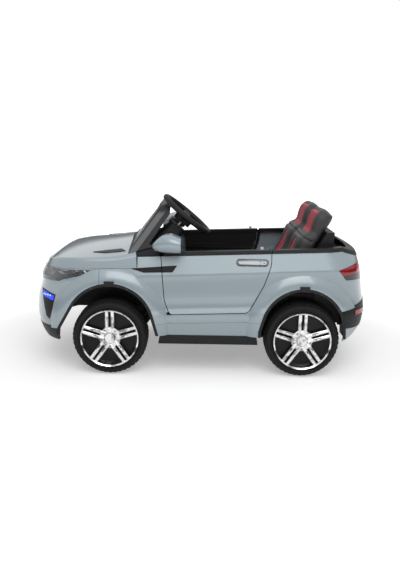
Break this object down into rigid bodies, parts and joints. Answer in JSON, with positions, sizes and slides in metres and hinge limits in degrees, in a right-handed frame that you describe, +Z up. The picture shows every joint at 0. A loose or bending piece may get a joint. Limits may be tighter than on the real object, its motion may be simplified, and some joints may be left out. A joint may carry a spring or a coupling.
{
  "type": "electric ride-on car",
  "caption": "Child's electric ride-on car: open off-road style body with hinged doors, steered front wheels, padded seats, windscreen, foot pedal and chrome spoke wheels.",
  "frame": {"origin": "on the floor under the middle of the overall length and width", "axes": "+X to the rear of the car, +Y to its right, +Z up"},
  "size_m": [1.0723, 0.666, 0.5431],
  "materials": {
    "body_paint": "glossy painted moulding",
    "black_plastic": "satin black moulding",
    "gloss_black": "glossy black moulding",
    "silver_plastic": "silver painted moulding",
    "chrome_plastic": "bright plated moulding",
    "tyre_black": "matt black",
    "clear_lens": "clear",
    "screen_tint": "grey tinted clear panel",
    "red_lens": "glossy red lens",
    "led_blue": "lit blue bar",
    "mirror_face": "bright mirror foil",
    "leatherette": "soft grained cover",
    "steel": "zinc plated steel",
    "motor_case": "dark moulded case",
    "battery_case": "grey moulded case",
    "button_red": "glossy red button"
  },
  "bodies": {
    "body": {"hood": "body_paint", "front_bumper": "body_paint", "body_side_left": "body_paint", "body_side_right": "body_paint", "rear_panel": "body_paint", "mirror_housings": "body_paint", "chassis_tub": "black_plastic", "front_lip": "black_plastic", "windscreen_frame": "black_plastic", "rear_bumper": "black_plastic", "arch_liners": "black_plastic", "sill_skirts": "black_plastic", "cockpit_rim": "black_plastic", "dashboard": "black_plastic", "seat_shell": "black_plastic", "front_axle_beam": "black_plastic", "grille": "gloss_black", "headlamp_housings": "gloss_black", "fog_lamps": "gloss_black", "body_vents": "gloss_black", "tail_lamps": "gloss_black", "rear_diffuser": "silver_plastic", "headlamp_lenses": "clear_lens", "windscreen": "screen_tint", "tail_lenses": "red_lens", "fog_leds": "led_blue", "mirror_glasses": "mirror_face", "seat_cushion": "leatherette", "seat_back_left": "leatherette", "seat_back_right": "leatherette", "rear_axle": "steel", "gear_motors": "motor_case", "battery": "battery_case"},
    "steering": {"steering_wheel": "black_plastic", "steering_column": "steel"},
    "horn": {"horn_button": "silver_plastic"},
    "tie_rod": {"tie_rod": "steel"},
    "knuckle_left": {"knuckle_left": "steel"},
    "knuckle_right": {"knuckle_right": "steel"},
    "door_left": {"door_left": "body_paint", "door_liner_left": "black_plastic"},
    "door_right": {"door_right": "body_paint", "door_liner_right": "black_plastic"},
    "bolt_left": {"door_bolt_left": "silver_plastic"},
    "bolt_right": {"door_bolt_right": "silver_plastic"},
    "pedal": {"pedal": "black_plastic"},
    "power_button": {"power_button": "button_red"},
    "drive_switch": {"drive_switch": "gloss_black"},
    "wheel_front_left": {"tyre_front_left": "tyre_black", "wheel_core_front_left": "black_plastic", "spoke_cover_front_left": "chrome_plastic"},
    "wheel_front_right": {"tyre_front_right": "tyre_black", "wheel_core_front_right": "black_plastic", "spoke_cover_front_right": "chrome_plastic"},
    "wheel_rear_left": {"tyre_rear_left": "tyre_black", "wheel_core_rear_left": "black_plastic", "spoke_cover_rear_left": "chrome_plastic"},
    "wheel_rear_right": {"tyre_rear_right": "tyre_black", "wheel_core_rear_right": "black_plastic", "spoke_cover_rear_right": "chrome_plastic"}
  },
  "joints": [
    {"name": "steering_turn", "type": "hinge", "parent": "body", "child": "steering", "pos_m": [-0.044, -0.105, 0.48], "axis": [0.6293, 0, 0.7771], "range_deg": [-36, 36]},
    {"name": "horn_press", "type": "slide", "parent": "steering", "child": "horn", "axis": [-0.6293, 0, -0.7771], "range_m": [0, 0.0025], "stiffness_N_per_m": 900, "springref_m": -0.001},
    {"name": "knuckle_left_turn", "type": "hinge", "parent": "body", "child": "knuckle_left", "pos_m": [-0.273, -0.17, 0.116], "axis": [0, 0, 1], "range_deg": [-18.1, 18.1]},
    {"name": "knuckle_right_turn", "type": "hinge", "parent": "body", "child": "knuckle_right", "pos_m": [-0.273, 0.17, 0.116], "axis": [0, 0, 1], "range_deg": [-18.1, 18.1]},
    {"name": "tie_rod_slide", "type": "slide", "parent": "body", "child": "tie_rod", "axis": [0, -1, 0], "range_m": [-0.0229, 0.0229]},
    {"name": "wheel_front_left_spin", "type": "hinge", "parent": "knuckle_left", "child": "wheel_front_left", "pos_m": [-0.273, -0.237, 0.116], "axis": [0, 1, 0], "continuous": true},
    {"name": "wheel_front_right_spin", "type": "hinge", "parent": "knuckle_right", "child": "wheel_front_right", "pos_m": [-0.273, 0.237, 0.116], "axis": [0, 1, 0], "continuous": true},
    {"name": "wheel_rear_left_spin", "type": "hinge", "parent": "body", "child": "wheel_rear_left", "pos_m": [0.316, -0.237, 0.116], "axis": [0, 1, 0], "continuous": true},
    {"name": "wheel_rear_right_spin", "type": "hinge", "parent": "body", "child": "wheel_rear_right", "pos_m": [0.316, 0.237, 0.116], "axis": [0, 1, 0], "continuous": true},
    {"name": "door_left_swing", "type": "hinge", "parent": "body", "child": "door_left", "pos_m": [-0.09036, -0.252, 0.277], "axis": [0.0835, 0, -0.9965], "range_deg": [0, 45]},
    {"name": "bolt_left_slide", "type": "slide", "parent": "door_left", "child": "bolt_left", "axis": [0.9992, 0, 0.04], "range_m": [0, 0.014]},
    {"name": "door_right_swing", "type": "hinge", "parent": "body", "child": "door_right", "pos_m": [-0.09036, 0.252, 0.277], "axis": [-0.0835, 0, 0.9965], "range_deg": [0, 45]},
    {"name": "bolt_right_slide", "type": "slide", "parent": "door_right", "child": "bolt_right", "axis": [0.9992, 0, 0.04], "range_m": [0, 0.014]},
    {"name": "pedal_press", "type": "hinge", "parent": "body", "child": "pedal", "pos_m": [-0.034, -0.062, 0.111], "axis": [0, -1, 0], "range_deg": [0, 12], "stiffness_Nm_per_rad": 1.5, "springref_deg": -8.59},
    {"name": "power_press", "type": "slide", "parent": "body", "child": "power_button", "axis": [-0.9584, 0, -0.2854], "range_m": [0, 0.0025], "stiffness_N_per_m": 900, "springref_m": -0.001},
    {"name": "drive_switch_tip", "type": "hinge", "parent": "body", "child": "drive_switch", "pos_m": [-0.09573, 0.066, 0.3758], "axis": [0, 1, 0], "range_deg": [-10, 10]}
  ],
  "couplings": [
    {"joint": "knuckle_left_turn", "follows": "steering_turn", "ratio": 0.5},
    {"joint": "knuckle_right_turn", "follows": "steering_turn", "ratio": 0.5},
    {"joint": "tie_rod_slide", "follows": "steering_turn", "m_per_rad": 0.0362}
  ]
}
